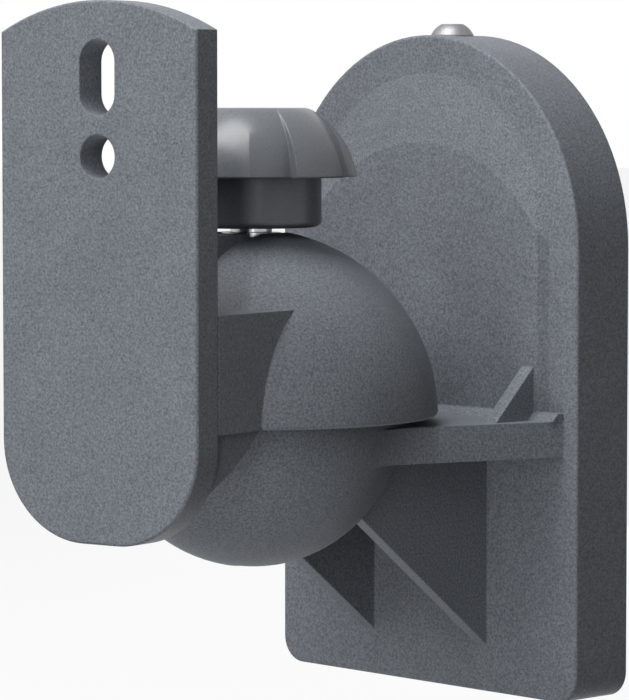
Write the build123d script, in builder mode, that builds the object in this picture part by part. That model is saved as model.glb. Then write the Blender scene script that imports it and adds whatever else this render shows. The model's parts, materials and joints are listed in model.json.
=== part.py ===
from build123d import *
import os
from math import cos, radians, sin, sqrt, tan

# Speaker wall bracket, in millimetres. +Z is up, the wall is the plane Y = 0 and the speaker side is -Y.
# The origin lies on the wall, in the middle of the four fixing holes of the hidden wall plate.
# Heights of the ball, the speaker arm and the knob are measured from the ball's centre.

# Wall housing: an arched tray whose open back goes over the wall plate
housing_width = 74.0
housing_depth = 12.8
housing_wall = 2.6
housing_front_wall = 2.6
arch_centre_height = 20.4
housing_bottom = -57.8
housing_corner_radius = 4.6
housing_inner_corner = 2.0
housing_edge_round = 0.5

# Raised panel on the housing's front, with a wide bevel under the arch and narrow ones at the sides
panel_raise = 1.4
panel_rim = 6.7
panel_side_bevel = 1.3
panel_arc_radius = 35.0
panel_arc_top = 38.4
panel_core_inset = 3.0

# Bracket arm: a tapered flange from the housing to the ball, with upper and lower ribs
flange_top = -9.1
flange_thickness = 6.2
flange_half_width = 33.9
flange_taper = 18.7
flange_ball_fillet = 16.0
flange_ball_fillet_share = 2.5
wall_bead = 1.4
rib_thickness = 2.8
upper_rib_outer = 28.1
upper_rib_height = 9.2
lower_rib_outer = 15.6
lower_rib_drop = 34.2
lower_rib_angle = 38.9

# Ball: the lower half is moulded with the arm, the crown is a piece of its own
ball_reach = 54.3
ball_height = -7.7
ball_radius = 25.8
ball_wall = 2.8
ball_web_count = 4
ball_web_start_angle = 45.0
ball_web_thickness = 2.0
bowl_boss_radius = 8.0
bowl_boss_height = 9.5
bowl_web_height = 3.4
crown_seat_gap = 0.4
crown_spigot_depth = 3.6
crown_spigot_wall = 2.4
crown_tube_radius = 7.0
crown_tube_gap = 0.3
crown_web_height = 5.4

# Clamp bolt, up through the ball and the dome into the knob
bolt_diameter = 6.0
bolt_clearance = 0.2
bolt_length = 65.0
bolt_head_flats = 10.0
bolt_head_height = 4.0
bolt_head_gap = 0.15
bolt_pocket_depth = 5.0
bolt_end_chamfer = 0.8

# Speaker arm: plate, neck, wedge, web and clamping dome in one moulding, turned as in use
rest_swivel = 12.0
plate_width = 40.0
plate_thickness = 5.7
plate_front = 42.0
plate_top = 69.6
plate_bottom = -18.2
plate_top_radius = 43.0
plate_top_corner = 1.5
plate_bottom_corner = 16.4
plate_edge_bevel = 0.3
slot_width = 7.1
slot_length = 12.3
slot_height = 57.15
round_hole_diameter = 7.1
round_hole_height = 44.5
neck_top = 19.3
neck_fillet = 2.0
wedge_inset = 0.8
wedge_start = 24.2
wedge_drop = 10.6
wedge_ball_gap = 0.6
web_width = 9.2
core_wall = 2.8
core_roof = 3.0

# Dome that grips the ball from above, stiffened inside by a crown pad and fins
dome_thickness = 5.7
dome_wall = 2.9
dome_ball_gap = 0.3
dome_rim_height = 0.1
dome_rim_round = 0.8
dome_flat_drop = 0.6
crown_pad_radius = 17.5
dome_fin_count = 8
dome_fin_thickness = 1.8
dome_fin_bottom = 1.6

# Curved seat and washers that let the dome tilt under the knob
tilt_down_limit = 12.0
tilt_up_limit = 2.0
saddle_floor_wall = 2.5
saddle_floor_gap = 0.1
saddle_width = 10.4
saddle_side_gap = 0.15
tilt_end_gap = 0.5
thrust_washer_radius = 5.1
thrust_washer_thickness = 1.0

# Knob with six saw-tooth flutes and its threaded bush
knob_gap = 0.9
knob_radius = 18.0
knob_top_radius = 9.2
knob_height = 11.7
knob_shoulder_radius = 12.3
knob_shoulder_drop = 1.7
knob_belly_radius = 15.9
knob_belly_drop = 5.8
collar_radius = 12.0
collar_height = 8.5
collar_bevel_width = 1.4
collar_bevel_height = 1.1
knob_core_radius = 14.0
knob_core_depth = 4.0
flute_count = 6
flute_start_angle = -43.0
flute_angle = 26.0
flute_depth = 1.9
bush_radius = 3.575
bush_length = 13.0
bush_collar_flats = 10.0
bush_collar_start = 3.8
bush_collar_height = 5.0
bush_fit = 0.02
thread_clearance = 0.05
bolt_end_room = 1.2

# Locking screw on top of the arch, and its nut in the wall plate
lock_screw_diameter = 4.0
lock_screw_length = 12.0
lock_clearance = 0.2
lock_head_diameter = 7.6
lock_head_height = 2.2
lock_head_top_diameter = 4.2
lock_socket_flats = 2.5
lock_socket_depth = 1.3
lock_nut_flats = 7.0
lock_nut_height = 3.2
lock_nut_gap = 0.15
lock_nut_front_gap = 0.15
lock_nut_drop = 6.4

# Wall plate inside the housing
plate_gap = 0.5
wall_plate_thickness = 2.5
wall_plate_bottom = -52.4
wall_plate_rim = 1.8
wall_plate_rim_height = 6.0
fixing_hole_diameter = 5.2
fixing_head_diameter = 9.6
fixing_spacing_x = 44.0
fixing_spacing_z = 60.0
fixing_boss_radius = 7.0
fixing_boss_height = 2.0
lock_block_width = 13.0
lock_block_height = 11.0
lock_block_gap = 0.6
tongue_width = 10.0
tongue_spacing = 36.0
tongue_thickness = 2.0
tongue_gap = 0.4
ledge_thickness = 3.0
ledge_height = 1.9

# Sizes that follow
housing_half = housing_width / 2
housing_floor = housing_depth - housing_front_wall
lock_depth = housing_floor - lock_nut_front_gap - lock_nut_flats / sqrt(3)
arch_top = arch_centre_height + housing_half
panel_front = housing_depth + panel_raise
panel_half = housing_half - panel_rim
panel_flat_half = panel_half - panel_side_bevel
flange_bottom = flange_top - flange_thickness
panel_foot = flange_top - flange_thickness / 2
arm_root = housing_depth - housing_front_wall / 2
ball_inner_radius = ball_radius - ball_wall
ball_skin_middle = ball_radius - ball_wall / 2
bowl_boss_top = bowl_boss_height - ball_radius
bolt_seat = bolt_pocket_depth - ball_radius
bolt_end = bolt_seat + bolt_length
grip_radius = ball_radius + dome_ball_gap
dome_radius = grip_radius + dome_thickness
dome_inner_radius = dome_radius - dome_wall
dome_flat_height = dome_radius - dome_flat_drop
saddle_floor_radius = grip_radius + saddle_floor_wall
plate_back = plate_front - plate_thickness
plate_half = plate_width / 2
thrust_washer_bottom = dome_flat_height - thrust_washer_thickness
collar_bottom = dome_flat_height + knob_gap
knob_cap_bottom = collar_bottom + collar_height
knob_top = knob_cap_bottom + knob_height

# Planes of the speaker arm. arm_level is level with the ball's centre, with x to the arm's right and y
# towards the wall.
arm_level = Plane(origin=(0, -ball_reach, ball_height)).rotated((0, 0, rest_swivel))
arm_right = arm_level.x_dir
arm_outward = -arm_level.y_dir
ball_centre = arm_level.origin


def arm_face(distance):
    """Upright plane across the speaker arm, a distance in front of the ball's centre, y upwards."""
    return Plane(ball_centre + arm_outward * distance, x_dir=arm_right, z_dir=arm_outward)


def arm_side():
    """Upright plane along the middle of the speaker arm, x outward and y upwards."""
    return Plane(ball_centre, x_dir=arm_outward, z_dir=-arm_right)


def level(height):
    """Horizontal plane on the ball's axis, at a height above the ball's centre."""
    return Plane(origin=(0, -ball_reach, ball_height + height))


def meridian(angle):
    """Upright plane through the ball's axis, x away from the axis and y upwards."""
    away = Vector(cos(radians(angle)), sin(radians(angle)), 0)
    return Plane(level(0).origin, x_dir=away, z_dir=away.cross(Vector(0, 0, 1)))


def sphere_height(radius, distance):
    """Height of a sphere's surface, at a distance from its upright axis."""
    return sqrt(radius**2 - distance**2)


def closed_outline(points):
    """Face inside straight lines through the given corners."""
    with BuildLine() as outline:
        Polyline(*points, close=True)
    make_face(outline.edges())


def arch_outline(inset, bottom, corner):
    """Housing outline, an arch on straight sides, drawn a distance inside the outer one."""
    half = housing_half - inset
    with BuildLine() as outline:
        Line((-half, bottom), (-half, arch_centre_height))
        ThreePointArc(
            (-half, arch_centre_height), (0, arch_centre_height + half), (half, arch_centre_height)
        )
        Line((half, arch_centre_height), (half, bottom))
        Line((half, bottom), (-half, bottom))
    face = make_face(outline.edges())
    fillet(face.vertices().group_by(Axis.Y)[0], corner)


def panel_outline(half, arc_radius, arc_top):
    """Outline of the raised panel, straight sides under one arc."""
    shoulder = arc_top - arc_radius + sqrt(arc_radius**2 - half**2)
    with BuildLine() as outline:
        Line((-half, panel_foot), (-half, shoulder))
        ThreePointArc((-half, shoulder), (0, arc_top), (half, shoulder))
        Line((half, shoulder), (half, panel_foot))
        Line((half, panel_foot), (-half, panel_foot))
    make_face(outline.edges())


def speaker_plate_outline(inset):
    """Outline of the speaker plate, drawn a distance inside the outer one, from the ball's centre height."""
    half = plate_half - inset
    top = plate_top - inset
    bottom = plate_bottom + inset
    arc_radius = plate_top_radius - inset
    side_top = top - arc_radius + sqrt(arc_radius**2 - half**2)
    with BuildLine() as outline:
        Polyline((-half, side_top), (-half, bottom), (half, bottom), (half, side_top))
        ThreePointArc((half, side_top), (0, top), (-half, side_top))
    face = make_face(outline.edges())
    corners = face.vertices().sort_by(Axis.Y)
    fillet(corners[:2], plate_bottom_corner - inset)
    fillet(face.vertices().group_by(Axis.Y)[-1], plate_top_corner)


# Boss and webs in the bowl of the ball, which carry the clamp bolt's head
with BuildPart() as bowl_inside:
    with BuildSketch(level(-ball_radius)):
        Circle(bowl_boss_radius)
    extrude(amount=bowl_boss_height)
    with BuildSketch(level(bowl_boss_top - bowl_web_height)):
        with PolarLocations(0, ball_web_count, start_angle=ball_web_start_angle):
            Rectangle(ball_radius, ball_web_thickness, align=(Align.MIN, Align.CENTER))
    extrude(amount=bowl_web_height)
    with Locations(level(0)):
        Sphere(ball_skin_middle, mode=Mode.INTERSECT)

# Wall housing, with arm, ribs and lower half of the ball in one moulding
flange_end_half = flange_half_width - (ball_reach - housing_depth) * tan(radians(flange_taper))
lower_rib_run = lower_rib_drop / tan(radians(lower_rib_angle))
# Where the flange's slanting sides run into the ball, half way up the flange
taper_sine = sin(radians(flange_taper))
taper_cosine = cos(radians(flange_taper))
side_distance = flange_half_width * taper_cosine - (ball_reach - housing_depth) * taper_sine
ball_slice_radius = sphere_height(ball_radius, ball_height - panel_foot)
side_run = sphere_height(ball_slice_radius, side_distance)
merge_half = side_distance * taper_cosine + side_run * taper_sine
merge_reach = ball_reach + side_distance * taper_sine - side_run * taper_cosine
merge_fillet = min(flange_ball_fillet, flange_ball_fillet_share * (ball_slice_radius - side_distance))
with BuildPart() as wall_housing:
    with BuildSketch(Plane.XZ):
        arch_outline(0, housing_bottom, housing_corner_radius)
    extrude(amount=housing_depth)
    fillet(wall_housing.faces().sort_by(Axis.Y)[0].edges(), housing_edge_round)
    with BuildSketch(Plane.XZ.offset(housing_depth)):
        panel_outline(panel_half, panel_half, arch_centre_height + panel_half)
    with BuildSketch(Plane.XZ.offset(panel_front)):
        panel_outline(panel_flat_half, panel_arc_radius, panel_arc_top)
    loft(ruled=True)
    # Flange, tapering from the wall to the ball, over its bead at the wall
    with BuildSketch(Plane.XY.offset(flange_bottom)):
        closed_outline(
            [
                (-flange_half_width, -arm_root),
                (flange_half_width, -arm_root),
                (flange_half_width, -housing_depth),
                (flange_end_half, -ball_reach),
                (-flange_end_half, -ball_reach),
                (-flange_half_width, -housing_depth),
            ]
        )
    extrude(amount=flange_thickness)
    with BuildSketch(Plane.YZ):
        closed_outline(
            [
                (-arm_root, flange_top),
                (-panel_front - wall_bead, flange_top),
                (-panel_front, flange_top + wall_bead),
                (-arm_root, flange_top + wall_bead),
            ]
        )
    extrude(amount=flange_half_width, both=True)
    # Upper and lower ribs, in pairs
    for side in (-1, 1):
        with BuildSketch(Plane.YZ.offset(side * (upper_rib_outer - rib_thickness / 2))):
            closed_outline(
                [
                    (-arm_root, flange_bottom),
                    (-panel_front - upper_rib_height, flange_bottom),
                    (-panel_front - upper_rib_height, flange_top),
                    (-panel_front, flange_top + upper_rib_height),
                    (-arm_root, flange_top + upper_rib_height),
                ]
            )
        extrude(amount=rib_thickness / 2, both=True)
        with BuildSketch(Plane.YZ.offset(side * (lower_rib_outer - rib_thickness / 2))):
            closed_outline(
                [
                    (-arm_root, flange_top),
                    (-arm_root, flange_bottom - lower_rib_drop),
                    (-housing_depth, flange_bottom - lower_rib_drop),
                    (-housing_depth - lower_rib_run, flange_bottom),
                    (-housing_depth - lower_rib_run, flange_top),
                ]
            )
        extrude(amount=rib_thickness / 2, both=True)
    # Lower half of the ball, hollow round its boss and webs
    with Locations(level(0)):
        Sphere(ball_radius, arc_size1=-90, arc_size2=0, align=(Align.CENTER, Align.CENTER, Align.MAX))
        Sphere(ball_inner_radius, mode=Mode.SUBTRACT)
    for side in (-1, 1):
        merge_point = (side * merge_half, -merge_reach, panel_foot)
        fillet(wall_housing.edges().sort_by_distance(merge_point)[0], merge_fillet)
    add(bowl_inside.part)
    with BuildSketch(level(-ball_radius)):
        RegularPolygon(bolt_head_flats / 2 + bolt_head_gap, 6, major_radius=False)
    extrude(amount=bolt_pocket_depth, mode=Mode.SUBTRACT)
    with BuildSketch(level(-ball_radius)):
        Circle(bolt_diameter / 2 + bolt_clearance)
    extrude(amount=ball_radius, mode=Mode.SUBTRACT)
    # Open back, cored out behind the raised panel too, so that the wall stays even
    with BuildSketch(Plane.XZ):
        arch_outline(housing_wall, housing_bottom + housing_wall, housing_inner_corner)
    extrude(amount=housing_floor, mode=Mode.SUBTRACT)
    with BuildSketch(Plane.XZ.offset(housing_floor)):
        panel_outline(
            panel_flat_half - panel_core_inset,
            panel_arc_radius - panel_core_inset,
            panel_arc_top - panel_core_inset,
        )
    extrude(amount=panel_raise, mode=Mode.SUBTRACT)
    # Hole for the locking screw, with a flat seat on the arch
    with BuildSketch(Plane.XY.offset(arch_top)):
        with Locations((0, -lock_depth)):
            Circle(lock_screw_diameter / 2 + lock_clearance)
    extrude(amount=-2 * housing_wall, mode=Mode.SUBTRACT)
    lock_seat = arch_centre_height + sphere_height(housing_half, lock_head_diameter / 2)
    with BuildSketch(Plane.XY.offset(lock_seat)):
        with Locations((0, -lock_depth)):
            Circle(lock_head_diameter / 2 + lock_clearance)
    extrude(amount=housing_wall, mode=Mode.SUBTRACT)
    # Ledges that lie behind the wall plate's tongues
    with BuildSketch(Plane.XZ.offset(tongue_gap)):
        with GridLocations(tongue_spacing, 1, 2, 1):
            with Locations((0, housing_bottom + housing_wall / 2)):
                Rectangle(
                    tongue_width, housing_wall / 2 + ledge_height, align=(Align.CENTER, Align.MIN)
                )
    extrude(amount=ledge_thickness)
wall_housing.part.label = "wall_housing"

# Wall plate: screwed to the wall first, then the housing goes over it
lock_nut_top = lock_seat - lock_nut_drop
lock_block_top = arch_centre_height + sphere_height(housing_half - housing_wall - plate_gap, lock_block_width / 2)
lock_block_front = housing_floor - lock_block_gap
tongue_back = tongue_gap + ledge_thickness + tongue_gap
tongue_tip = housing_bottom + housing_wall + tongue_gap
fixing_face = wall_plate_thickness + fixing_boss_height
with BuildPart() as wall_plate:
    with BuildSketch(Plane.XZ):
        arch_outline(housing_wall + plate_gap, wall_plate_bottom, housing_inner_corner)
    extrude(amount=wall_plate_rim_height)
    with BuildSketch(Plane.XZ.offset(wall_plate_thickness)):
        arch_outline(
            housing_wall + plate_gap + wall_plate_rim,
            wall_plate_bottom + wall_plate_rim,
            housing_inner_corner,
        )
    extrude(amount=wall_plate_rim_height, mode=Mode.SUBTRACT)
    # Bosses round the four fixing holes, joined by stiffening ribs
    with BuildSketch(Plane.XZ):
        with GridLocations(fixing_spacing_x, fixing_spacing_z, 2, 2):
            Circle(fixing_boss_radius)
        with GridLocations(fixing_spacing_x, 1, 2, 1):
            Rectangle(wall_plate_rim, fixing_spacing_z)
        with GridLocations(1, fixing_spacing_z, 1, 2):
            Rectangle(fixing_spacing_x, wall_plate_rim)
    extrude(amount=fixing_face)
    with Locations(Plane.XZ.offset(fixing_face)):
        with GridLocations(fixing_spacing_x, fixing_spacing_z, 2, 2):
            CounterSinkHole(fixing_hole_diameter / 2, fixing_head_diameter / 2, depth=2 * fixing_face)
    # Block with the locking screw's nut pocket, open to the front
    with BuildSketch(Plane.XY.offset(lock_block_top)):
        with Locations((0, -wall_plate_thickness / 2)):
            Rectangle(
                lock_block_width,
                lock_block_front - wall_plate_thickness / 2,
                align=(Align.CENTER, Align.MAX),
            )
    extrude(amount=-lock_block_height)
    with BuildSketch(Plane.XY.offset(lock_nut_top + lock_nut_gap)):
        with Locations((0, -lock_depth)):
            RegularPolygon(lock_nut_flats / 2 + lock_nut_gap, 6, major_radius=False, rotation=30)
            Rectangle(lock_nut_flats + 2 * lock_nut_gap, housing_depth, align=(Align.CENTER, Align.MAX))
    extrude(amount=-lock_nut_height - 2 * lock_nut_gap, mode=Mode.SUBTRACT)
    with BuildSketch(Plane.XY.offset(arch_top)):
        with Locations((0, -lock_depth)):
            Circle(lock_screw_diameter / 2 + lock_clearance)
    extrude(amount=-housing_wall - plate_gap - lock_block_height, mode=Mode.SUBTRACT)
    # Tongues in front of the housing's ledges
    with BuildSketch(Plane.XZ.offset(wall_plate_thickness / 2)):
        with GridLocations(tongue_spacing, 1, 2, 1):
            with Locations((0, wall_plate_bottom)):
                Rectangle(tongue_width, wall_plate_rim, align=(Align.CENTER, Align.MIN))
    extrude(amount=tongue_back + tongue_thickness - wall_plate_thickness / 2)
    with BuildSketch(Plane.XZ.offset(tongue_back)):
        with GridLocations(tongue_spacing, 1, 2, 1):
            with Locations((0, tongue_tip)):
                Rectangle(
                    tongue_width,
                    wall_plate_bottom + wall_plate_rim - tongue_tip,
                    align=(Align.CENTER, Align.MIN),
                )
    extrude(amount=tongue_thickness)
wall_plate.part.label = "wall_plate"

# Locking screw, a button head with a hexagon socket, down through the arch into the nut
lock_axis = Axis((0, -lock_depth, 0), (0, 0, 1))
lock_head_top = lock_seat + lock_head_height
with BuildPart() as lock_screw:
    with BuildSketch(Plane.XZ.offset(lock_depth)):
        with BuildLine():
            Polyline(
                (0, lock_head_top),
                (0, lock_seat - lock_screw_length),
                (lock_screw_diameter / 2, lock_seat - lock_screw_length),
                (lock_screw_diameter / 2, lock_seat),
                (lock_head_diameter / 2, lock_seat),
            )
            TangentArc(
                (lock_head_diameter / 2, lock_seat),
                (lock_head_top_diameter / 2, lock_head_top),
                tangent=(0, 1),
            )
            Line((lock_head_top_diameter / 2, lock_head_top), (0, lock_head_top))
        make_face()
    revolve(axis=lock_axis)
    with BuildSketch(Plane.XY.offset(lock_head_top)):
        with Locations((0, -lock_depth)):
            RegularPolygon(lock_socket_flats / 2, 6, major_radius=False)
    extrude(amount=-lock_socket_depth, mode=Mode.SUBTRACT)
lock_screw.part.label = "lock_screw"

with BuildPart() as lock_nut:
    with BuildSketch(Plane.XY.offset(lock_nut_top)):
        with Locations((0, -lock_depth)):
            RegularPolygon(lock_nut_flats / 2, 6, major_radius=False, rotation=30)
            Circle(lock_screw_diameter / 2 + thread_clearance, mode=Mode.SUBTRACT)
    extrude(amount=-lock_nut_height)
lock_nut.part.label = "lock_nut"

# Ball crown: the upper half of the ball, with a spigot in the bowl and a tube round the bolt
spigot_radius = sqrt((ball_inner_radius - crown_seat_gap) ** 2 - crown_spigot_depth**2)
crown_tube_bottom = bowl_boss_top + crown_tube_gap
with BuildPart() as crown_inside:
    with BuildSketch(level(-crown_spigot_depth)):
        Circle(spigot_radius)
        Circle(spigot_radius - crown_spigot_wall, mode=Mode.SUBTRACT)
    extrude(amount=crown_spigot_depth + sphere_height(ball_skin_middle, spigot_radius))
    with BuildSketch(level(0)):
        with PolarLocations(0, ball_web_count, start_angle=ball_web_start_angle):
            Rectangle(
                spigot_radius - crown_spigot_wall / 2, ball_web_thickness, align=(Align.MIN, Align.CENTER)
            )
    extrude(amount=crown_web_height)
    with BuildSketch(level(crown_tube_bottom)):
        Circle(crown_tube_radius)
    extrude(amount=sphere_height(ball_skin_middle, crown_tube_radius) - crown_tube_bottom)

with BuildPart() as ball_crown:
    with Locations(level(0)):
        Sphere(ball_radius, arc_size1=0, arc_size2=90, align=(Align.CENTER, Align.CENTER, Align.MIN))
        Sphere(ball_inner_radius, mode=Mode.SUBTRACT)
    add(crown_inside.part)
    with BuildSketch(level(crown_tube_bottom)):
        Circle(bolt_diameter / 2 + bolt_clearance)
    extrude(amount=2 * ball_radius, mode=Mode.SUBTRACT)
ball_crown.part.label = "ball_crown"

# Clamp bolt, its head held in the pocket under the ball
with BuildPart() as clamp_bolt:
    with BuildSketch(level(bolt_seat)):
        RegularPolygon(bolt_head_flats / 2, 6, major_radius=False)
    extrude(amount=-bolt_head_height)
    with BuildSketch(level(bolt_seat)):
        Circle(bolt_diameter / 2)
    extrude(amount=bolt_length)
    chamfer(clamp_bolt.faces().sort_by(Axis.Z)[-1].edges(), bolt_end_chamfer)
clamp_bolt.part.label = "clamp_bolt"

# Wedge under the neck: the lower plate's outline, cut off by a slope and hollowed round the ball
wedge_half = plate_half - wedge_inset
with BuildPart() as wedge:
    with BuildSketch(arm_side()):
        closed_outline(
            [
                (wedge_start, dome_rim_height),
                (plate_back, dome_rim_height),
                (plate_back, dome_rim_height - wedge_drop),
            ]
        )
    extrude(amount=wedge_half, both=True)
    with BuildSketch(arm_face(0)):
        speaker_plate_outline(wedge_inset)
    extrude(amount=plate_back, mode=Mode.INTERSECT)
    with Locations(level(0)):
        Sphere(ball_radius + wedge_ball_gap, mode=Mode.SUBTRACT)

# Pockets that core out the neck and the wedge from below, either side of the middle web
pocket_half_gap = web_width / 2
pocket_outer = plate_half - core_wall
with BuildPart() as neck_pockets:
    with BuildSketch(arm_level.offset(dome_rim_height - wedge_drop)):
        for side in (-1, 1):
            with Locations((side * (pocket_half_gap + pocket_outer) / 2, 0)):
                Rectangle(pocket_outer - pocket_half_gap, plate_back, align=(Align.CENTER, Align.MAX))
    extrude(amount=neck_top - core_roof - dome_rim_height + wedge_drop)
    with Locations(level(0)):
        Sphere(dome_radius, mode=Mode.SUBTRACT)

# Crown pad and fins inside the dome, which bear on the ball
with BuildPart() as dome_inside:
    with BuildSketch(level(dome_fin_bottom)):
        with PolarLocations(0, dome_fin_count, start_angle=rest_swivel + 180 / dome_fin_count):
            Rectangle(dome_radius, dome_fin_thickness, align=(Align.MIN, Align.CENTER))
        Circle(crown_pad_radius)
    extrude(amount=dome_radius)
    with Locations(level(0)):
        Sphere((dome_radius + dome_inner_radius) / 2, mode=Mode.INTERSECT)
        Sphere(grip_radius, mode=Mode.SUBTRACT)

# Slot for the curved seat, as long as the washer travels when the dome tilts under it
saddle_half = saddle_width / 2
recess_half = saddle_half + saddle_side_gap
recess_back = (
    saddle_half * cos(radians(tilt_down_limit))
    + dome_flat_height * sin(radians(tilt_down_limit))
    + tilt_end_gap
)
recess_front = (
    saddle_half * cos(radians(tilt_up_limit))
    + dome_flat_height * sin(radians(tilt_up_limit))
    + tilt_end_gap
)
with BuildPart() as saddle_recess:
    with BuildSketch(level(grip_radius / 2).rotated((0, 0, rest_swivel))):
        with Locations((0, (recess_back - recess_front) / 2)):
            Rectangle(2 * recess_half, recess_back + recess_front)
    extrude(amount=dome_radius)
    with Locations(level(0)):
        Sphere(saddle_floor_radius, mode=Mode.SUBTRACT)

# Speaker arm
bolt_slot_half = bolt_diameter / 2 + bolt_clearance + saddle_side_gap
bolt_slot_back = saddle_floor_radius * tan(radians(tilt_down_limit)) + bolt_slot_half + tilt_end_gap
bolt_slot_front = saddle_floor_radius * tan(radians(tilt_up_limit)) + bolt_slot_half + tilt_end_gap
dome_flat_radius = sqrt(dome_radius**2 - dome_flat_height**2)
dome_side = sqrt(dome_radius**2 - dome_rim_height**2)
with BuildPart() as speaker_arm:
    with BuildSketch(arm_face(plate_back)):
        speaker_plate_outline(0)
    extrude(amount=plate_thickness)
    plate_rims = speaker_arm.faces().filter_by(arm_face(0)).edges()
    chamfer(plate_rims, plate_edge_bevel)
    with BuildSketch(arm_level.offset(dome_rim_height)):
        Rectangle(plate_width, plate_back, align=(Align.CENTER, Align.MAX))
    extrude(amount=neck_top - dome_rim_height)
    neck_corner = ball_centre + arm_outward * plate_back + Vector(0, 0, neck_top)
    fillet(speaker_arm.edges().sort_by_distance(neck_corner)[0], neck_fillet)
    # Web from the plate to the dome's crown
    with BuildSketch(arm_level.offset(dome_rim_height)):
        Rectangle(web_width, plate_back, align=(Align.CENTER, Align.MAX))
    extrude(amount=dome_flat_height - dome_rim_height)
    with BuildSketch(arm_side()):
        with BuildLine():
            Line((0, dome_rim_height), (dome_side, dome_rim_height))
            ThreePointArc(
                (dome_side, dome_rim_height),
                (dome_radius * cos(radians(45)), dome_radius * sin(radians(45))),
                (dome_flat_radius, dome_flat_height),
            )
            Polyline((dome_flat_radius, dome_flat_height), (0, dome_flat_height), (0, dome_rim_height))
        dome_section = make_face()
        fillet(dome_section.vertices().sort_by(Axis.X)[-1], dome_rim_round)
    revolve(axis=Axis((0, -ball_reach, 0), (0, 0, 1)))
    # Hollow inside of the dome, above its rim
    with Locations(level(0)):
        Sphere(dome_inner_radius, mode=Mode.SUBTRACT)
    add(wedge.part)
    add(neck_pockets.part, mode=Mode.SUBTRACT)
    add(dome_inside.part)
    add(saddle_recess.part, mode=Mode.SUBTRACT)
    with BuildSketch(level(grip_radius / 2).rotated((0, 0, rest_swivel))):
        with Locations((0, (bolt_slot_back - bolt_slot_front) / 2)):
            SlotOverall(bolt_slot_back + bolt_slot_front, 2 * bolt_slot_half, rotation=90)
    extrude(amount=dome_radius, mode=Mode.SUBTRACT)
    # Slot and round hole for the screws into the speaker
    with BuildSketch(arm_face(plate_front)):
        with Locations((0, slot_height)):
            SlotOverall(slot_length, slot_width, rotation=90)
        with Locations((0, round_hole_height)):
            Circle(round_hole_diameter / 2)
    extrude(amount=-plate_thickness, mode=Mode.SUBTRACT)
speaker_arm.part.label = "speaker_arm"

# Curved seat between the dome and the thrust washer
with BuildPart() as saddle_seat:
    with BuildSketch(level(grip_radius).rotated((0, 0, rest_swivel))):
        Rectangle(saddle_width, saddle_width)
        Circle(bolt_diameter / 2 + bolt_clearance, mode=Mode.SUBTRACT)
    extrude(amount=thrust_washer_bottom - grip_radius)
    with Locations(level(0)):
        Sphere(saddle_floor_radius + saddle_floor_gap, mode=Mode.SUBTRACT)
saddle_seat.part.label = "saddle_seat"

with BuildPart() as thrust_washer:
    with BuildSketch(level(thrust_washer_bottom)):
        Circle(thrust_washer_radius)
        Circle(bolt_diameter / 2 + bolt_clearance, mode=Mode.SUBTRACT)
    extrude(amount=thrust_washer_thickness)
thrust_washer.part.label = "thrust_washer"

# Knob: a domed cap over a plain collar, moulded round its threaded bush
bush_collar_bottom = dome_flat_height + bush_collar_start
bush_top = dome_flat_height + bush_length
knob_axis = Axis((0, -ball_reach, 0), (0, 0, 1))
flute_ridge = [
    (knob_shoulder_radius, knob_top - knob_shoulder_drop),
    (knob_belly_radius, knob_top - knob_belly_drop),
    (knob_radius, knob_cap_bottom),
]
flute_valley = [
    (knob_shoulder_radius, knob_top - knob_shoulder_drop),
    (knob_belly_radius - flute_depth / 2, knob_top - knob_belly_drop),
    (knob_radius - flute_depth, knob_cap_bottom),
]


def flute_section(curve):
    """Face from a curve down the knob's side out past the knob's rim."""
    outside = knob_radius + flute_depth
    with BuildLine() as outline:
        ThreePointArc(*curve)
        Polyline(curve[-1], (outside, knob_cap_bottom), (outside, knob_top), curve[0])
    make_face(outline.edges())


with BuildPart() as knob:
    with BuildSketch(meridian(0)):
        with BuildLine():
            Polyline(
                (0, knob_top),
                (0, collar_bottom),
                (collar_radius - collar_bevel_width, collar_bottom),
            )
            Spline(
                (collar_radius - collar_bevel_width, collar_bottom),
                (collar_radius, collar_bottom + collar_bevel_height),
                tangents=((1, 0), (0, 1)),
            )
            Polyline(
                (collar_radius, collar_bottom + collar_bevel_height),
                (collar_radius, knob_cap_bottom + knob_core_depth),
                (knob_core_radius, knob_cap_bottom + knob_core_depth),
                (knob_core_radius, knob_cap_bottom),
                (knob_radius, knob_cap_bottom),
            )
            ThreePointArc(*reversed(flute_ridge))
            TangentArc(flute_ridge[0], (knob_top_radius, knob_top), tangent=(-1, 1))
            Line((knob_top_radius, knob_top), (0, knob_top))
        make_face()
    revolve(axis=knob_axis)
    for index in range(flute_count):
        ridge_angle = flute_start_angle + index * 360 / flute_count
        with BuildSketch(meridian(ridge_angle)):
            flute_section(flute_ridge)
        with BuildSketch(meridian(ridge_angle + flute_angle)):
            flute_section(flute_valley)
        loft(ruled=True, mode=Mode.SUBTRACT)
    # Seat of the bush and room for the bolt's end
    with BuildSketch(level(collar_bottom)):
        Circle(bush_radius + bush_fit)
    extrude(amount=bolt_end + bolt_end_room - collar_bottom, mode=Mode.SUBTRACT)
    with BuildSketch(level(bush_collar_bottom - bush_fit)):
        RegularPolygon(bush_collar_flats / 2 + bush_fit, 6, major_radius=False)
    extrude(amount=bush_collar_height + 2 * bush_fit, mode=Mode.SUBTRACT)
knob.part.label = "knob"

with BuildPart() as knob_bush:
    with BuildSketch(level(dome_flat_height)):
        Circle(bush_radius)
    extrude(amount=bush_length)
    with BuildSketch(level(bush_collar_bottom)):
        RegularPolygon(bush_collar_flats / 2, 6, major_radius=False)
    extrude(amount=bush_collar_height)
    with BuildSketch(level(dome_flat_height)):
        Circle(bolt_diameter / 2 + thread_clearance)
    extrude(amount=bush_length, mode=Mode.SUBTRACT)
knob_bush.part.label = "knob_bush"

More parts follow.
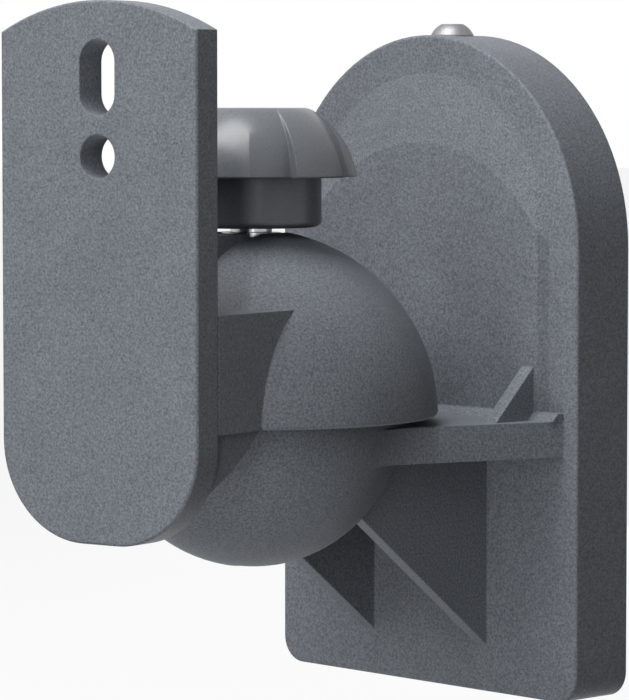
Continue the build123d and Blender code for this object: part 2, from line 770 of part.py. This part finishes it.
os.makedirs("parts", exist_ok=True)
export_step(wall_housing.part, "parts/wall_housing.step")
export_step(wall_plate.part, "parts/wall_plate.step")
export_step(lock_screw.part, "parts/lock_screw.step")
export_step(lock_nut.part, "parts/lock_nut.step")
export_step(ball_crown.part, "parts/ball_crown.step")
export_step(clamp_bolt.part, "parts/clamp_bolt.step")
export_step(speaker_arm.part, "parts/speaker_arm.step")
export_step(saddle_seat.part, "parts/saddle_seat.step")
export_step(thrust_washer.part, "parts/thrust_washer.step")
export_step(knob.part, "parts/knob.step")
export_step(knob_bush.part, "parts/knob_bush.step")
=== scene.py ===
"""Looks of a ball-joint wall bracket for a small speaker: finishes, hardware, studio and camera."""

import json
import logging
import math
from collections.abc import Callable
from dataclasses import dataclass, field
from enum import Enum

import bmesh
import bpy
from mathutils import Matrix, Vector


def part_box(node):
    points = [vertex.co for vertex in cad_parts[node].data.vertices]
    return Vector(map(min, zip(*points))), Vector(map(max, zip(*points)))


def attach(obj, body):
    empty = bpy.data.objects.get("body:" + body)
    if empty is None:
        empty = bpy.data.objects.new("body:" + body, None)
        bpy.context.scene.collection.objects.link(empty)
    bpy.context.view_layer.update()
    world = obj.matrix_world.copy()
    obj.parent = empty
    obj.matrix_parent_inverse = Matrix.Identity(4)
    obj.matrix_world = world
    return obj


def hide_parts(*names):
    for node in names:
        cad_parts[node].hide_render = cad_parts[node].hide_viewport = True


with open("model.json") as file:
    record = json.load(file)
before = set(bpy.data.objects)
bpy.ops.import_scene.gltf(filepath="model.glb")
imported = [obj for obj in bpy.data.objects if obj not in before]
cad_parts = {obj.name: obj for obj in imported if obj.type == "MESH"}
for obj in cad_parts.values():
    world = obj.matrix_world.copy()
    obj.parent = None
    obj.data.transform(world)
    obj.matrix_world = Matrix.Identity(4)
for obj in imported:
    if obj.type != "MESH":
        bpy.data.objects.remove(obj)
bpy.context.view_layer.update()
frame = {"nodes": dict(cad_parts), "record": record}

log = logging.getLogger("speaker_wall_bracket")

MM = 0.001
ROUND_POINTS = 72  # points round a turned piece
THREAD_RINGS = 8  # rings in one turn of a thread
THREAD_RUN_OUT = 1 / 8  # share of a thread over which each end fades
SHARP_ANGLE = 9.0  # degrees between faces at which an edge stays sharp
BEVEL_SAMPLES = 6
NOISE_LOW, NOISE_HIGH = 0.3, 0.7  # most of a noise lies between them

Colour = tuple[float, float, float]
Point = tuple[float, float, float]
Outline = Callable[[float], float]


class Side(Enum):
    """Sides of the bracket that the hardware moves with, by the name of their body."""

    WALL = "wall_side"
    KNOB = "knob_side"


class NodeGraph:
    """An empty node tree whose nodes are added one call at a time."""

    def __init__(self, tree: bpy.types.NodeTree) -> None:
        """Empties the tree.

        Args:
            tree: Node tree of a material or of the world.
        """
        self.tree = tree
        self.tree.nodes.clear()

    def add(self, kind: str, **settings: object) -> bpy.types.Node:
        """Adds a node.

        Args:
            kind: Blender's name of the node type.
            settings: Properties to set on the node.

        Returns:
            The new node.
        """
        node = self.tree.nodes.new(kind)
        for key, value in settings.items():
            setattr(node, key, value)
        return node

    def link(self, source: bpy.types.NodeSocket, target: bpy.types.NodeSocket) -> None:
        """Joins an output socket to an input socket."""
        self.tree.links.new(source, target)

    def arithmetic(
        self, operation: str, first: bpy.types.NodeSocket, second: bpy.types.NodeSocket | float
    ) -> bpy.types.NodeSocket:
        """Adds a math node.

        Args:
            operation: Blender's name of the operation.
            first: First value.
            second: Second value, a socket or a number.

        Returns:
            The result.
        """
        node = self.add("ShaderNodeMath", operation=operation)
        self.link(first, node.inputs[0])
        if isinstance(second, float):
            node.inputs[1].default_value = second
        else:
            self.link(second, node.inputs[1])
        return node.outputs["Value"]

    def mix(
        self, share: bpy.types.NodeSocket, first: bpy.types.NodeSocket, second: bpy.types.NodeSocket
    ) -> bpy.types.NodeSocket:
        """Mixes two shaders.

        Args:
            share: Share of the second shader, from 0 to 1.
            first: First shader.
            second: Second shader.

        Returns:
            The mixed shader.
        """
        node = self.add("ShaderNodeMixShader")
        self.link(share, node.inputs["Fac"])
        self.link(first, node.inputs[1])
        self.link(second, node.inputs[2])
        return node.outputs["Shader"]

    def background_rays(self) -> bpy.types.NodeSocket:
        """Tells the rays that see a background from those that light the object.

        Returns:
            1 for rays of the camera, of mirrors and through glass, and 0 for all others.
        """
        rays = self.add("ShaderNodeLightPath").outputs
        seen = self.arithmetic("MAXIMUM", rays["Is Camera Ray"], rays["Is Glossy Ray"])
        return self.arithmetic("MAXIMUM", seen, rays["Is Transmission Ray"])


class Surface(NodeGraph):
    """A new material with a principled shader."""

    def __init__(self, name: str) -> None:
        """Makes the material.

        Args:
            name: Name of the material.
        """
        self.material = bpy.data.materials.new(name)
        self.material.use_nodes = True
        super().__init__(self.material.node_tree)
        self.shader = self.add("ShaderNodeBsdfPrincipled")
        self.output = self.add("ShaderNodeOutputMaterial")
        self.link(self.shader.outputs["BSDF"], self.output.inputs["Surface"])

    def noise(self, size_mm: float, detail: float, crispness: float = 0.5) -> bpy.types.NodeSocket:
        """Adds a noise on the piece's own coordinates.

        Args:
            size_mm: Size of one lump, in millimetres.
            detail: Number of finer octaves.
            crispness: Share that each finer octave keeps.

        Returns:
            The noise's factor, from 0 to 1.
        """
        place = self.add("ShaderNodeTexCoord")
        node = self.add("ShaderNodeTexNoise")
        node.inputs["Scale"].default_value = 1.0 / (size_mm * MM)
        node.inputs["Detail"].default_value = detail
        node.inputs["Roughness"].default_value = crispness
        self.link(place.outputs["Object"], node.inputs["Vector"])
        return node.outputs["Fac"]

    def spread(self, value: bpy.types.NodeSocket, low: float, high: float) -> bpy.types.NodeSocket:
        """Stretches the middle of a noise to a range.

        Args:
            value: Noise factor.
            low: Result where the noise is low.
            high: Result where the noise is high.

        Returns:
            The stretched value.
        """
        node = self.add("ShaderNodeMapRange")
        node.inputs["From Min"].default_value = NOISE_LOW
        node.inputs["From Max"].default_value = NOISE_HIGH
        node.inputs["To Min"].default_value = low
        node.inputs["To Max"].default_value = high
        self.link(value, node.inputs["Value"])
        return node.outputs["Result"]

    def tint(self, colour: Colour, brightness: bpy.types.NodeSocket) -> None:
        """Sets the base colour to one hue times a varying brightness.

        Args:
            colour: Linear colour.
            brightness: Factor that varies over the surface.
        """
        node = self.add("ShaderNodeVectorMath", operation="SCALE")
        node.inputs[0].default_value = colour
        self.link(brightness, node.inputs["Scale"])
        self.link(node.outputs["Vector"], self.shader.inputs["Base Color"])

    def roughen(self, noise: bpy.types.NodeSocket, low: float, high: float) -> None:
        """Lets the roughness follow a noise.

        Args:
            noise: Noise factor.
            low: Roughness where the noise is low.
            high: Roughness where the noise is high.
        """
        self.link(self.spread(noise, low, high), self.shader.inputs["Roughness"])

    def bump(self, height: bpy.types.NodeSocket, depth_mm: float, edge_mm: float = 0.0) -> None:
        """Adds a bump to the surface's normal, over softened edges.

        Args:
            height: Height field, from 0 to 1.
            depth_mm: Height of one unit, in millimetres.
            edge_mm: Radius of the softened edges, in millimetres, or 0 for sharp ones.
        """
        node = self.add("ShaderNodeBump")
        node.inputs["Strength"].default_value = 1.0
        node.inputs["Distance"].default_value = depth_mm * MM
        if edge_mm:
            edge = self.add("ShaderNodeBevel", samples=BEVEL_SAMPLES)
            edge.inputs["Radius"].default_value = edge_mm * MM
            self.link(edge.outputs["Normal"], node.inputs["Normal"])
        self.link(height, node.inputs["Height"])
        self.link(node.outputs["Normal"], self.shader.inputs["Normal"])


@dataclass(frozen=True)
class GrainedPlastic:
    """Moulded plastic with a spark-eroded grain: fine pits, pale specks and a faint mottle.

    The roughness follows the grain, from `smoother` below its middle value to `rougher` above it.
    """

    name: str
    colour: Colour
    roughness: float = 0.5
    smoother: float = 0.06
    rougher: float = 0.08
    grain_mm: float = 0.38
    grain_detail: float = 3.0
    grain_crispness: float = 0.6
    grain_depth_mm: float = 0.05
    speck_contrast: float = 0.4
    mottle_mm: float = 9.0
    mottle_detail: float = 4.0
    mottle_contrast: float = 0.05
    sheen: float = 0.12
    edge_mm: float = 0.4

    def make(self) -> bpy.types.Material:
        """Builds the material.

        Returns:
            The finished material.
        """
        surface = Surface(self.name)
        grain = surface.noise(self.grain_mm, self.grain_detail, self.grain_crispness)
        specks = surface.spread(grain, 1.0 - self.speck_contrast, 1.0 + self.speck_contrast)
        clouds = surface.noise(self.mottle_mm, self.mottle_detail)
        mottle = surface.spread(clouds, 1.0 - self.mottle_contrast, 1.0 + self.mottle_contrast)
        surface.tint(self.colour, surface.arithmetic("MULTIPLY", specks, mottle))
        surface.roughen(grain, self.roughness - self.smoother, self.roughness + self.rougher)
        surface.shader.inputs["Specular IOR Level"].default_value = self.sheen
        surface.bump(grain, self.grain_depth_mm, self.edge_mm)
        return surface.material


@dataclass(frozen=True)
class BrightSteel:
    """Zinc-plated steel with fine marks from its making and faint clouds in its colour.

    The roughness follows the marks, from `smoother` below its middle value to `rougher` above it.
    """

    name: str
    colour: Colour = (0.62, 0.63, 0.64)
    roughness: float = 0.24
    smoother: float = 0.06
    rougher: float = 0.1
    mark_mm: float = 0.12
    mark_detail: float = 2.0
    mark_depth_mm: float = 0.004
    cloud_mm: float = 1.5
    cloud_detail: float = 3.0
    cloud_dark: float = 0.88
    cloud_light: float = 1.06

    def make(self) -> bpy.types.Material:
        """Builds the material.

        Returns:
            The finished material.
        """
        surface = Surface(self.name)
        surface.shader.inputs["Metallic"].default_value = 1.0
        marks = surface.noise(self.mark_mm, self.mark_detail)
        clouds = surface.noise(self.cloud_mm, self.cloud_detail)
        surface.tint(self.colour, surface.spread(clouds, self.cloud_dark, self.cloud_light))
        surface.roughen(marks, self.roughness - self.smoother, self.roughness + self.rougher)
        surface.bump(marks, self.mark_depth_mm)
        return surface.material


@dataclass
class Finishes:
    """The finishes of the bracket's pieces. Those that the record has carry its slots' names."""

    housing: GrainedPlastic = GrainedPlastic("housing_plastic", (0.150, 0.163, 0.183))
    knob: GrainedPlastic = GrainedPlastic(
        "knob_plastic",
        (0.115, 0.124, 0.138),
        roughness=0.31,
        grain_depth_mm=0.004,
        speck_contrast=0.06,
        sheen=0.42,
        edge_mm=0.3,
    )
    backing: GrainedPlastic = GrainedPlastic("plate_plastic", (0.05, 0.05, 0.055), speck_contrast=0.15)
    steel: BrightSteel = BrightSteel("plated_steel")
    screw: BrightSteel = BrightSteel("screw_steel", colour=(0.22, 0.22, 0.23), roughness=0.5)
    materials: dict[str, bpy.types.Material] = field(default_factory=dict)

    def make(self) -> None:
        """Builds the materials."""
        for finish in (self.housing, self.knob, self.backing, self.steel, self.screw):
            self.materials[finish.name] = finish.make()

    def dress_frame(self) -> None:
        """Gives every carried-over piece its finish."""
        for part in frame["record"]["subparts"]:
            piece = frame["nodes"][part["node"]]
            piece.data.materials.clear()
            piece.data.materials.append(self.materials[part["material_slot"]])
            log.info("dressed %s in %s", part["node"], part["material_slot"])


def hexagon(flats: float) -> Outline:
    """Outline of a hexagon with a flat towards +Y, from its width across flats in millimetres."""
    turn = math.pi / 3
    return lambda angle: flats / 2 / math.cos(angle % turn - turn / 2)


def even_angles(count: int) -> list[float]:
    """Evenly spaced directions round an axis, in radians."""
    return [2 * math.pi * index / count for index in range(count)]


@dataclass
class NodeSpace:
    """Where a carried-over piece stands: its upright axis and its heights, in millimetres."""

    node: str
    axis: tuple[float, float] = field(init=False)
    bottom: float = field(init=False)
    top: float = field(init=False)

    def __post_init__(self) -> None:
        """Reads the piece's box."""
        low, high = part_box(self.node)
        self.axis = ((low[0] + high[0]) / 2 / MM, (low[1] + high[1]) / 2 / MM)
        self.bottom, self.top = low[2] / MM, high[2] / MM


class TurnedPiece:
    """A piece made of rings round an upright axis, each with its own height and outline."""

    def __init__(self, axis: tuple[float, float], angles: list[float]) -> None:
        """Starts an empty mesh.

        Args:
            axis: Where the axis stands, x and y in millimetres.
            angles: Directions of the rings' points, in radians.
        """
        self.axis = axis
        self.angles = angles
        self.builder = bmesh.new()
        self.last: list[bmesh.types.BMVert] = []

    def ring(self, height: float, outline: float | Outline) -> list[bmesh.types.BMVert]:
        """Adds a ring and joins it to the one before.

        Args:
            height: Height in millimetres.
            outline: Radius in millimetres, or a function from angle to radius.

        Returns:
            The ring's points.
        """
        points = []
        for angle in self.angles:
            radius = outline(angle) if callable(outline) else outline
            x = self.axis[0] + radius * math.cos(angle)
            y = self.axis[1] + radius * math.sin(angle)
            points.append(self.builder.verts.new((x * MM, y * MM, height * MM)))
        if self.last:
            self.join(points)
        self.last = points
        return points

    def join(self, points: list[bmesh.types.BMVert]) -> None:
        """Closes the gap between the last ring and the points of another."""
        for index, point in enumerate(points):
            self.builder.faces.new((self.last[index - 1], self.last[index], point, points[index - 1]))

    def rings(self, *profile: tuple[float, float | Outline]) -> None:
        """Adds rings one after another, each from its height and outline in millimetres."""
        for height, outline in profile:
            self.ring(height, outline)

    def cap(self) -> None:
        """Closes the last ring with a flat face."""
        self.builder.faces.new(self.last)

    def thread(self, start: float, end: float, radius: float, pitch: float, depth: float) -> None:
        """Adds a right-hand thread.

        Args:
            start: Height where it starts, in millimetres.
            end: Height where it ends, in millimetres.
            radius: Radius of its crests, in millimetres.
            pitch: Height of one turn, in millimetres.
            depth: Depth of its grooves in millimetres, negative for grooves that go outwards.
        """
        steps = round(abs(end - start) / pitch * THREAD_RINGS)
        for index in range(steps + 1):
            height = start + (end - start) * index / steps
            fade = min(1.0, min(index, steps - index) / steps / THREAD_RUN_OUT)

            def outline(angle: float, height: float = height, fade: float = fade) -> float:
                """Radius of the thread at an angle."""
                share = (height / pitch - angle / (2 * math.pi)) % 1.0
                return radius - fade * depth * abs(2 * share - 1)

            self.ring(height, outline)

    def finish(self, name: str, node: str, side: Side, slot: str, material: bpy.types.Material) -> None:
        """Makes the object, which stands for a carried-over piece.

        Args:
            name: Name of the object.
            node: Name of the piece that it stands for.
            side: Body that it moves with.
            slot: Name of its finish in the record. Not used.
            material: Its finish.
        """
        bmesh.ops.recalc_face_normals(self.builder, faces=self.builder.faces)
        mesh = bpy.data.meshes.new(name)
        self.builder.to_mesh(mesh)
        self.builder.free()
        mesh.materials.append(material)
        mesh.polygons.foreach_set("use_smooth", [True] * len(mesh.polygons))
        mesh.set_sharp_from_angle(angle=math.radians(SHARP_ANGLE))
        piece = bpy.data.objects.new(name, mesh)
        bpy.context.scene.collection.objects.link(piece)
        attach(piece, side.value)
        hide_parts(node)
        log.info("built %s, %d faces", name, len(mesh.polygons))


@dataclass
class LockScrew:
    """M4 button-head screw on top of the arch, with a hexagon socket. Sizes in millimetres."""

    head_radius: float = 3.8
    head_flat_radius: float = 1.95
    head_height: float = 2.2
    head_bulge: float = 0.22
    head_edge: float = 0.28
    head_rings: int = 8
    socket_flats: float = 2.5
    socket_depth: float = 1.3
    socket_chamfer: float = 0.15
    radius: float = 2.0
    pitch: float = 0.7
    thread_depth: float = 0.4
    tip: float = 0.5

    def head_curve(self, top: float) -> list[tuple[float, float]]:
        """Curve of the head, which bulges out from a straight flank.

        Args:
            top: Height of the head's flat.

        Returns:
            Height and radius of each ring.
        """
        curve = []
        for index in range(self.head_rings + 1):
            share = index / self.head_rings
            bulge = self.head_bulge * math.sin(math.pi * share) * math.sqrt(0.5)
            radius = self.head_flat_radius + share * (self.head_radius - self.head_flat_radius) + bulge
            drop = share * (self.head_height - self.head_edge) - bulge
            curve.append((top - max(0.0, drop), radius))
        return curve

    def build(self, finishes: Finishes) -> None:
        """Builds the screw from its socket's floor out over the head and down the thread.

        Args:
            finishes: The bracket's finishes.
        """
        space = NodeSpace("lock_screw")
        seat = space.top - self.head_height
        socket = hexagon(self.socket_flats)
        piece = TurnedPiece(space.axis, even_angles(ROUND_POINTS))
        piece.ring(space.top - self.socket_depth, socket)
        piece.cap()
        piece.rings(
            (space.top - self.socket_chamfer, socket),
            (space.top, hexagon(self.socket_flats + 2 * self.socket_chamfer)),
            *self.head_curve(space.top),
            (seat + self.head_edge / 3, self.head_radius),
            (seat, self.head_radius - self.head_edge / 3),
            (seat, self.radius),
        )
        thread_end = space.bottom + self.tip
        piece.thread(seat - self.pitch, thread_end, self.radius, self.pitch, self.thread_depth)
        piece.ring(space.bottom, self.radius - self.tip)
        piece.cap()
        steel = finishes.materials["screw_steel"]
        piece.finish("lock_screw_turned", space.node, Side.WALL, "plated_steel", steel)


@dataclass
class ClampBolt:
    """M6 bolt up through the ball into the knob, with a chamfered hexagon head. Sizes in millimetres."""

    head_flats: float = 10.0
    head_height: float = 4.0
    head_face_radius: float = 4.7
    chamfer_slope: float = 1.7
    chamfer_rings: int = 8
    chamfer_step: float = 0.09
    radius: float = 3.0
    root_fillet: float = 0.25
    pitch: float = 1.0
    thread_depth: float = 0.55
    thread_length: float = 24.0
    tip: float = 0.8

    def head_outline(self, rise: float) -> Outline:
        """Outline of the head, a hexagon that a cone cuts.

        Args:
            rise: Height above the head's face.

        Returns:
            Radius at an angle.
        """
        sides = hexagon(self.head_flats)
        cone = self.head_face_radius + self.chamfer_slope * rise
        return lambda angle: min(sides(angle), cone)

    def build(self, finishes: Finishes) -> None:
        """Builds the bolt from the face of its head upwards.

        Args:
            finishes: The bracket's finishes.
        """
        space = NodeSpace("clamp_bolt")
        piece = TurnedPiece(space.axis, even_angles(ROUND_POINTS))
        piece.ring(space.bottom, self.head_outline(0.0))
        piece.cap()
        for index in range(1, self.chamfer_rings):
            rise = index * self.chamfer_step
            piece.ring(space.bottom + rise, self.head_outline(rise))
        shoulder = space.bottom + self.head_height
        shank_end = space.top - self.thread_length
        piece.rings(
            (shoulder, hexagon(self.head_flats)),
            (shoulder, self.radius + self.root_fillet),
            (shoulder + self.root_fillet, self.radius),
            (shank_end, self.radius),
        )
        thread_end = space.top - self.tip
        piece.thread(shank_end + self.pitch, thread_end, self.radius, self.pitch, self.thread_depth)
        piece.ring(space.top, self.radius - self.tip)
        piece.cap()
        steel = finishes.materials["plated_steel"]
        piece.finish("clamp_bolt_turned", space.node, Side.WALL, "plated_steel", steel)


@dataclass
class KnobBush:
    """Threaded bush in the knob, with a hexagon collar against turning. Sizes in millimetres."""

    radius: float = 3.575
    bore_radius: float = 3.05
    pitch: float = 1.0
    groove_depth: float = 0.25
    lead_in: float = 0.3
    collar_flats: float = 10.0
    collar_start: float = 3.8
    collar_height: float = 5.0
    edge: float = 0.15

    def build(self, finishes: Finishes) -> None:
        """Builds the bush outside from its foot upwards, then down its bore.

        Args:
            finishes: The bracket's finishes.
        """
        space = NodeSpace("knob_bush")
        piece = TurnedPiece(space.axis, even_angles(ROUND_POINTS))
        collar = hexagon(self.collar_flats)
        collar_bottom = space.bottom + self.collar_start
        collar_top = collar_bottom + self.collar_height
        mouth = self.bore_radius + self.lead_in
        first = piece.ring(space.bottom, self.radius - self.edge)
        piece.rings(
            (space.bottom + self.edge, self.radius),
            (collar_bottom, self.radius),
            (collar_bottom, collar),
            (collar_top, collar),
            (collar_top, self.radius),
            (space.top - self.edge, self.radius),
            (space.top, self.radius - self.edge),
            (space.top, mouth),
        )
        start, end = space.top - self.lead_in, space.bottom + self.lead_in
        piece.thread(start, end, self.bore_radius, self.pitch, -self.groove_depth)
        piece.ring(space.bottom, mouth)
        piece.join(first)
        steel = finishes.materials["plated_steel"]
        piece.finish("knob_bush_turned", space.node, Side.KNOB, "plated_steel", steel)


@dataclass
class Knob:
    """Domed knob with six saw-tooth flutes up to its flat top, over a plain collar.

    Lengths are in millimetres and angles in degrees.
    """

    top_radius: float = 9.2
    shoulder_radius: float = 12.3
    shoulder_drop: float = 1.7
    shoulder_rings: int = 4
    belly_radius: float = 15.9
    belly_drop: float = 5.8
    belly_rings: int = 9
    rim_radius: float = 18.0
    rim_edge: float = 0.25
    cap_height: float = 11.7
    flute_count: int = 6
    flute_start: float = -43.0
    flute_angle: float = 26.0
    flute_depth: float = 2.1
    flute_power: float = 0.8
    ramp_points: int = 6
    land_points: int = 7
    step_angle: float = 0.35
    core_radius: float = 14.0
    core_depth: float = 4.0
    collar_radius: float = 12.0
    bevel_width: float = 1.4
    bevel_height: float = 1.1
    bevel_rings: int = 6
    bush_radius: float = 3.6
    bush_seat_radius: float = 5.85
    bush_seat_start: float = 2.88
    bush_seat_end: float = 7.92
    bore_depth: float = 14.2

    def dome(self) -> list[tuple[float, float]]:
        """Profile along the ridges: a curve out of the flat top, then an arc through shoulder and belly.

        Returns:
            Radius and drop below the top of each ring.
        """
        shoulder = Vector((self.shoulder_radius, self.shoulder_drop))
        belly = Vector((self.belly_radius, self.belly_drop)) - shoulder
        rim = Vector((self.rim_radius, self.cap_height)) - shoulder
        # The arc's centre is as far from the shoulder as from belly and rim.
        halves = Vector((belly.length_squared, rim.length_squared)) / 2
        centre = Matrix((belly, rim)).inverted() @ halves
        first = math.atan2(-centre.x, centre.y)
        last = math.atan2(rim.x - centre.x, centre.y - rim.y)
        # The curve out of the top aims at the corner where the arc's tangent meets the top.
        corner_radius = self.shoulder_radius - self.shoulder_drop / math.tan(first)
        profile = []
        for index in range(self.shoulder_rings):
            share = index / self.shoulder_rings
            level = (1 - share) ** 2 * self.top_radius + 2 * share * (1 - share) * corner_radius
            profile.append((level + share**2 * self.shoulder_radius, share**2 * self.shoulder_drop))
        for index in range(self.belly_rings):
            slope = first + (last - first) * index / self.belly_rings
            point = shoulder + centre + centre.length * Vector((math.sin(slope), -math.cos(slope)))
            profile.append((point.x, point.y))
        profile.append((self.rim_radius, self.cap_height - self.rim_edge))
        return profile

    def angles(self) -> list[float]:
        """Directions of the rings' points, with two at the step of each flute.

        Returns:
            The directions, in radians.
        """
        pitch = 360 / self.flute_count
        edge = self.flute_angle
        ramp = [edge * index / self.ramp_points for index in range(self.ramp_points)]
        step = [edge - self.step_angle, edge + self.step_angle]
        land = [edge + (pitch - edge) * index / self.land_points for index in range(1, self.land_points)]
        return [
            math.radians(self.flute_start + pitch * tooth + offset)
            for tooth in range(self.flute_count)
            for offset in ramp + step + land
        ]

    def fluted(self, radius: float, drop: float) -> Outline:
        """Outline of the dome with its flutes: a ramp, a step and the land between two flutes.

        Args:
            radius: Radius of the ridges.
            drop: How far below the top it is.

        Returns:
            Radius at an angle.
        """
        depth = self.flute_depth * (drop / self.cap_height) ** self.flute_power

        def outline(angle: float) -> float:
            """Radius at an angle."""
            offset = (math.degrees(angle) - self.flute_start) % (360 / self.flute_count)
            return radius - (depth * offset / self.flute_angle if offset < self.flute_angle else 0.0)

        return outline

    def collar_bevel(self, bottom: float) -> list[tuple[float, float]]:
        """Rounded lower corner of the collar.

        Args:
            bottom: Height of the knob's foot.

        Returns:
            Height and radius of each ring.
        """
        turns = [math.pi / 2 * index / self.bevel_rings for index in range(1, self.bevel_rings)]
        return [
            (
                bottom + self.bevel_height * (1 - math.sin(turn)),
                self.collar_radius - self.bevel_width * (1 - math.cos(turn)),
            )
            for turn in turns
        ]

    def build(self, finishes: Finishes) -> None:
        """Builds the knob from the middle of its top out over the dome, in under the cap and up its bore.

        Args:
            finishes: The bracket's finishes.
        """
        space = NodeSpace("knob")
        piece = TurnedPiece(NodeSpace("clamp_bolt").axis, self.angles())
        bottom = space.bottom
        cap_bottom = space.top - self.cap_height
        for radius, drop in self.dome():
            piece.ring(space.top - drop, self.fluted(radius, drop))
            if not drop:
                piece.cap()
        piece.rings(
            (cap_bottom, self.fluted(self.rim_radius - self.rim_edge, self.cap_height)),
            (cap_bottom, self.core_radius),
            (cap_bottom + self.core_depth, self.core_radius),
            (cap_bottom + self.core_depth, self.collar_radius),
            (bottom + self.bevel_height, self.collar_radius),
            *self.collar_bevel(bottom),
            (bottom, self.collar_radius - self.bevel_width),
            (bottom, self.bush_radius),
            (bottom + self.bush_seat_start, self.bush_radius),
            (bottom + self.bush_seat_start, self.bush_seat_radius),
            (bottom + self.bush_seat_end, self.bush_seat_radius),
            (bottom + self.bush_seat_end, self.bush_radius),
            (bottom + self.bore_depth, self.bush_radius),
        )
        piece.cap()
        plastic = finishes.materials["knob_plastic"]
        piece.finish("knob_fluted", space.node, Side.KNOB, "knob_plastic", plastic)


@dataclass(frozen=True)
class Lamp:
    """A soft rectangular lamp: its place and its width and height in metres, its power in watts."""

    name: str
    place: Point
    size: tuple[float, float]
    power: float

    def add(self, aim: Point) -> None:
        """Adds the lamp to the scene.

        Args:
            aim: Point that it faces.
        """
        data = bpy.data.lights.new(self.name, "AREA")
        data.shape = "RECTANGLE"
        data.size, data.size_y = self.size
        data.energy = self.power
        lamp = bpy.data.objects.new(self.name, data)
        lamp.location = self.place
        away = Vector(self.place) - Vector(aim)
        lamp.rotation_euler = away.to_track_quat("Z", "Y").to_euler()
        bpy.context.scene.collection.objects.link(lamp)


@dataclass
class Studio:
    """White surroundings, soft lamps and the camera at the photograph's place. Lengths in metres."""

    camera_place: Point = (0.47400, -0.48159, 0.04543)
    camera_yaw: float = math.radians(46.998)
    camera_pitch: float = math.radians(-3.764)
    camera_near: float = 0.01
    focal_px: float = 3756.8
    image_height_px: float = 700.0
    sensor_mm: float = 36.0
    floor_height: float = -0.105
    floor_reach: float = 6.0
    floor_colour: Colour = (0.8, 0.8, 0.8)
    floor_roughness: float = 0.9
    floor_glow: float = 0.9
    surroundings: float = 0.01
    middle: Point = (0.0, -0.045, 0.0)
    lamps: tuple[Lamp, ...] = (
        Lamp("key_lamp", (-0.25, -0.5, 0.45), (0.22, 0.55), 1.65),
        Lamp("top_lamp", (0.0, -0.22, 0.5), (0.3, 0.3), 3.0),
        Lamp("left_lamp", (-0.4, -0.3, 0.2), (0.3, 0.3), 0.5),
        Lamp("front_strip", (0.23, -0.4, 0.22), (0.04, 0.5), 0.6),
        Lamp("right_strip", (0.4, -0.29, 0.2), (0.02, 0.5), 0.3),
        Lamp("low_front_lamp", (0.1, -0.45, -0.38), (0.3, 0.3), 1.5),
        Lamp("low_right_lamp", (0.7, -0.3, -0.6), (0.6, 0.6), 0.3),
        Lamp("back_lamp", (-0.3, 0.55, -0.16), (0.4, 0.4), 2.8),
    )

    def floor_white(self) -> bpy.types.Material:
        """Matt white that the camera and mirrors see as nearly plain white, clear from below.

        Returns:
            The finished material.
        """
        surface = Surface("floor_white")
        surface.shader.inputs["Base Color"].default_value = (*self.floor_colour, 1.0)
        surface.shader.inputs["Roughness"].default_value = self.floor_roughness
        glow = surface.add("ShaderNodeEmission")
        glow.inputs["Color"].default_value = (1.0, 1.0, 1.0, 1.0)
        share = surface.arithmetic("MULTIPLY", surface.background_rays(), self.floor_glow)
        white = surface.mix(share, surface.shader.outputs["BSDF"], glow.outputs["Emission"])
        below = surface.add("ShaderNodeNewGeometry").outputs["Backfacing"]
        clear = surface.add("ShaderNodeBsdfTransparent").outputs["BSDF"]
        surface.link(surface.mix(below, white, clear), surface.output.inputs["Surface"])
        return surface.material

    def build_floor(self) -> None:
        """Lays the pale floor."""
        mesh = bpy.data.meshes.new("floor")
        builder = bmesh.new()
        bmesh.ops.create_grid(builder, x_segments=1, y_segments=1, size=self.floor_reach)
        builder.to_mesh(mesh)
        builder.free()
        floor = bpy.data.objects.new("floor", mesh)
        floor.location = (0.0, 0.0, self.floor_height)
        floor.visible_diffuse = False
        floor.visible_shadow = False
        mesh.materials.append(self.floor_white())
        bpy.context.scene.collection.objects.link(floor)

    def build_world(self) -> None:
        """Sets the pale surroundings, white where the camera or a mirror sees them."""
        world = bpy.data.worlds.new("surroundings")
        bpy.context.scene.world = world
        world.use_nodes = True
        graph = NodeGraph(world.node_tree)
        output = graph.add("ShaderNodeOutputWorld")
        soft = graph.add("ShaderNodeBackground")
        soft.inputs["Strength"].default_value = self.surroundings
        white = graph.add("ShaderNodeBackground")
        white.inputs["Color"].default_value = (1.0, 1.0, 1.0, 1.0)
        seen = graph.background_rays()
        both = graph.mix(seen, soft.outputs["Background"], white.outputs["Background"])
        graph.link(both, output.inputs["Surface"])

    def add_camera(self) -> None:
        """Sets the camera at the photograph's place and angle."""
        data = bpy.data.cameras.new("camera")
        data.sensor_width = self.sensor_mm
        data.lens = self.focal_px * self.sensor_mm / self.image_height_px
        data.clip_start = self.camera_near
        camera = bpy.data.objects.new("camera", data)
        camera.location = self.camera_place
        camera.rotation_euler = (math.pi / 2 + self.camera_pitch, 0.0, self.camera_yaw)
        bpy.context.scene.collection.objects.link(camera)
        bpy.context.scene.camera = camera

    def build(self) -> None:
        """Builds floor, surroundings, lamps and camera."""
        self.build_floor()
        self.build_world()
        for lamp in self.lamps:
            lamp.add(self.middle)
        self.add_camera()
        bpy.context.scene.view_settings.view_transform = "Standard"
        log.info("built the studio with %d lamps", len(self.lamps))


def main() -> None:
    """Dresses the carried-over pieces, then builds the hardware, the knob and the surroundings."""
    logging.basicConfig(level=logging.INFO, format="%(message)s")
    finishes = Finishes()
    finishes.make()
    finishes.dress_frame()
    for piece in (LockScrew(), ClampBolt(), KnobBush(), Knob()):
        piece.build(finishes)
    Studio().build()


if __name__ == "__main__":
    main()
